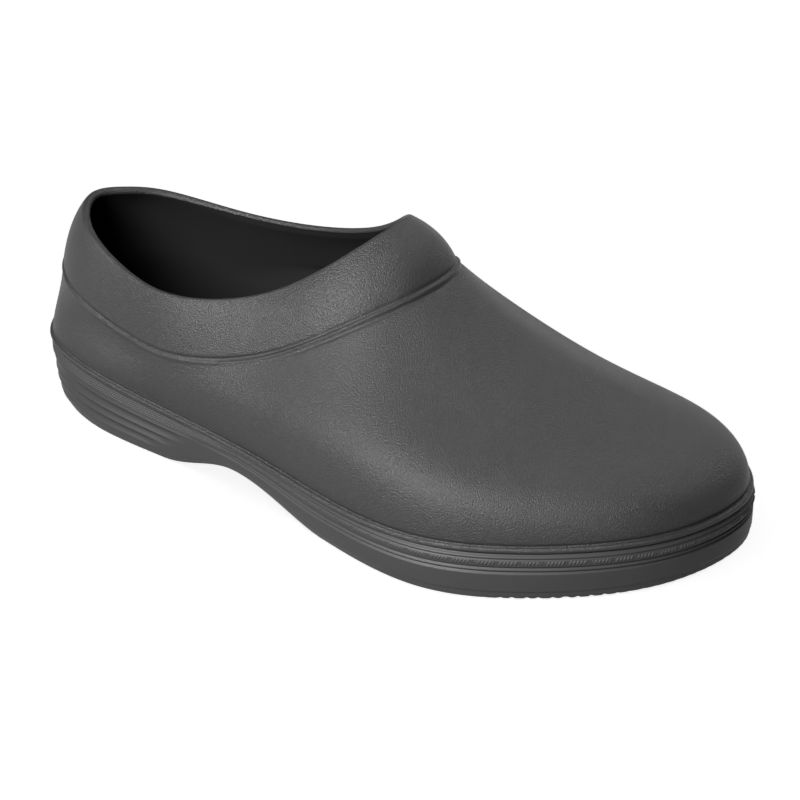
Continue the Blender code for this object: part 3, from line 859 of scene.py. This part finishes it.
class CLOG_OT_sole(bpy.types.Operator):
    """Build the sole with its fluted heel, grooves and studded tread"""

    bl_idname = "clog.sole"
    bl_label = "Sole"

    def execute(self, context):
        finish = context.scene.clog_finish
        fine = finish.grain * 0.7
        material = foam("sole_foam", finish.sole_colour, rough=0.55, grain_mm=fine,
                        grain_high=0.07, spread=0.06, shine=SOLE_SHINE)
        moulded = foam("stitch_foam", finish.stitch_colour, rough=0.6, grain_mm=fine,
                       grain_high=0.06, spread=0.1, shine=SOLE_SHINE)
        points, faces, under = sole_mesh()
        piece = make_mesh("clog_sole", points, faces, 40.0)
        piece.data.materials.append(material)
        dress(piece, "sole")
        studs = make_mesh("tread_studs", *stud_mesh(under, ring_middle()[0]), 30.0)
        studs.data.materials.append(material)
        add_to_sole(studs)
        stitch = make_mesh("stitch_line", *stitch_mesh(), 50.0)
        stitch.data.materials.append(moulded)
        add_to_sole(stitch)
        return {"FINISHED"}


class CLOG_OT_insole(bpy.types.Operator):
    """Build the dished footbed"""

    bl_idname = "clog.insole"
    bl_label = "Insole"

    def execute(self, context):
        finish = context.scene.clog_finish
        piece = make_mesh("clog_insole", *insole_mesh(), 40.0)
        # Footbed colour darkened as painted shade inside the shoe.
        material = foam("insole_foam_with_painted_shade", finish.insole_colour_with_painted_shade, rough=0.9, grain_mm=finish.grain * 1.4,
                        grain_high=0.12, spread=0.08, shine=INSIDE_SHINE)
        piece.data.materials.append(material)
        dress(piece, "insole")
        return {"FINISHED"}


def lay_floor():
    """Plain white paper under the shoe, with its own glow, so that it stays white."""
    corners = np.array([(-1.0, -1.0, 0.0), (1.0, -1.0, 0.0), (1.0, 1.0, 0.0), (-1.0, 1.0, 0.0)])
    corners = corners * FLOOR_HALF - UP * FLOOR_DROP
    floor = make_mesh("floor", corners, [np.array([(0, 1, 2, 3)])])
    paper = bpy.data.materials.new("floor_paper")
    paper.use_nodes = True
    tree = paper.node_tree
    shader = tree.nodes["Principled BSDF"]
    fibre = node(tree, "ShaderNodeTexNoise", Scale=90.0, Detail=2.0)
    place = node(tree, "ShaderNodeTexCoord")
    tree.links.new(place.outputs["Object"], fibre.inputs["Vector"])
    tone = spread_range(tree, fibre.outputs["Fac"], (0.3, 0.7), (0.925, 0.935))
    tree.links.new(tone, shader.inputs["Base Color"])
    shader.inputs["Emission Color"].default_value = (1.0, 1.0, 1.0, 1.0)
    shader.inputs["Emission Strength"].default_value = FLOOR_GLOW
    shader.inputs["Roughness"].default_value = 0.9
    shader.inputs["Specular IOR Level"].default_value = 0.1
    floor.data.materials.append(paper)


def white_surround(strength):
    """White world, brightest overhead on the heel's side: its strength follows the dot
    product of the direction with the bright way."""
    world = bpy.data.worlds.new("surround")
    world.use_nodes = True
    tree = world.node_tree
    back = tree.nodes["Background"]
    back.inputs["Color"].default_value = (1.0, 1.0, 1.0, 1.0)
    way = node(tree, "ShaderNodeTexCoord")
    along = node(tree, "ShaderNodeVectorMath", operation="DOT_PRODUCT")
    along.inputs[1].default_value = BRIGHT_WAY
    tree.links.new(way.outputs["Generated"], along.inputs[0])
    glow = spread_range(tree, along.outputs["Value"], (-0.5, 1.0), (strength * DIM_SHARE, strength))
    tree.links.new(glow, back.inputs["Strength"])
    bpy.context.scene.world = world


def soft_light(name, place, size, power, lit):
    """Square soft light at a place, turned to the shoe, that lights one collection."""
    light = bpy.data.lights.new(name, "AREA")
    light.size = size
    light.energy = power
    made = bpy.data.objects.new(name, light)
    made.location = place
    made.rotation_euler = (Vector(LIGHT_AIM) - Vector(place)).to_track_quat("-Z", "Y").to_euler()
    made.light_linking.receiver_collection = lit
    bpy.context.scene.collection.objects.link(made)


def set_camera(lens):
    """Camera at the view's azimuth, elevation and distance from its aim, looking at it."""
    azimuth = math.radians(VIEW_AZIMUTH)
    elevation = math.radians(VIEW_ELEVATION)
    away = Vector((math.sin(azimuth) * math.cos(elevation),
                   -math.cos(azimuth) * math.cos(elevation), math.sin(elevation)))
    right = Vector((math.cos(azimuth), math.sin(azimuth), 0.0))
    middle = ring_middle() * MM
    aim = Vector(VIEW_AIM) - Vector((middle[0], middle[1], 0.0))
    camera = bpy.data.cameras.new("view")
    camera.lens = lens
    camera.sensor_width = 36.0
    made = bpy.data.objects.new("view", camera)
    turn = Matrix((right, away.cross(right), away)).transposed()
    made.matrix_world = Matrix.Translation(aim + away * VIEW_DISTANCE) @ turn.to_4x4()
    bpy.context.scene.collection.objects.link(made)
    bpy.context.scene.camera = made


class CLOG_OT_stage(bpy.types.Operator):
    """Set the floor, the soft light and the camera"""

    bl_idname = "clog.stage"
    bl_label = "Stage"

    def execute(self, context):
        stage = context.scene.clog_stage
        pieces = [piece for piece in context.scene.objects if piece.type == "MESH"]
        if not pieces:
            raise RuntimeError("the stage needs the shoe's pieces first")
        lay_floor()
        white_surround(stage.surround)
        lit = bpy.data.collections.new("lit_pieces")
        for piece in pieces:
            lit.objects.link(piece)
        soft_light("key", KEY_PLACE, KEY_SIZE, stage.key_power, lit)
        soft_light("back", BACK_PLACE, BACK_SIZE, stage.back_power, lit)
        context.scene.view_settings.view_transform = "Standard"
        set_camera(stage.lens)
        return {"FINISHED"}


class CLOG_PT_sidebar(bpy.types.Panel):
    """Lists the clog's pieces and settings"""

    bl_label = "Chef clog"
    bl_idname = "CLOG_PT_sidebar"
    bl_space_type = "VIEW_3D"
    bl_region_type = "UI"
    bl_category = "Clog"

    def draw(self, context):
        layout = self.layout
        for group in (context.scene.clog_finish, context.scene.clog_stage):
            for name in group.bl_rna.properties.keys():
                if name not in ("rna_type", "name"):
                    layout.prop(group, name)
        for kind in OPERATORS:
            layout.operator(kind.bl_idname)


OPERATORS = (CLOG_OT_upper, CLOG_OT_sole, CLOG_OT_insole, CLOG_OT_stage)
CLASSES = (ClogFinish, ClogStage, *OPERATORS, CLOG_PT_sidebar)


def register():
    for kind in CLASSES:
        bpy.utils.register_class(kind)
    bpy.types.Scene.clog_finish = bpy.props.PointerProperty(type=ClogFinish)
    bpy.types.Scene.clog_stage = bpy.props.PointerProperty(type=ClogStage)


def unregister():
    del bpy.types.Scene.clog_stage
    del bpy.types.Scene.clog_finish
    for kind in reversed(CLASSES):
        bpy.utils.unregister_class(kind)


def main():
    """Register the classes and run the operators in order."""
    register()
    bpy.ops.clog.upper()
    bpy.ops.clog.sole()
    bpy.ops.clog.insole()
    bpy.ops.clog.stage()


if __name__ == "__main__":
    main()
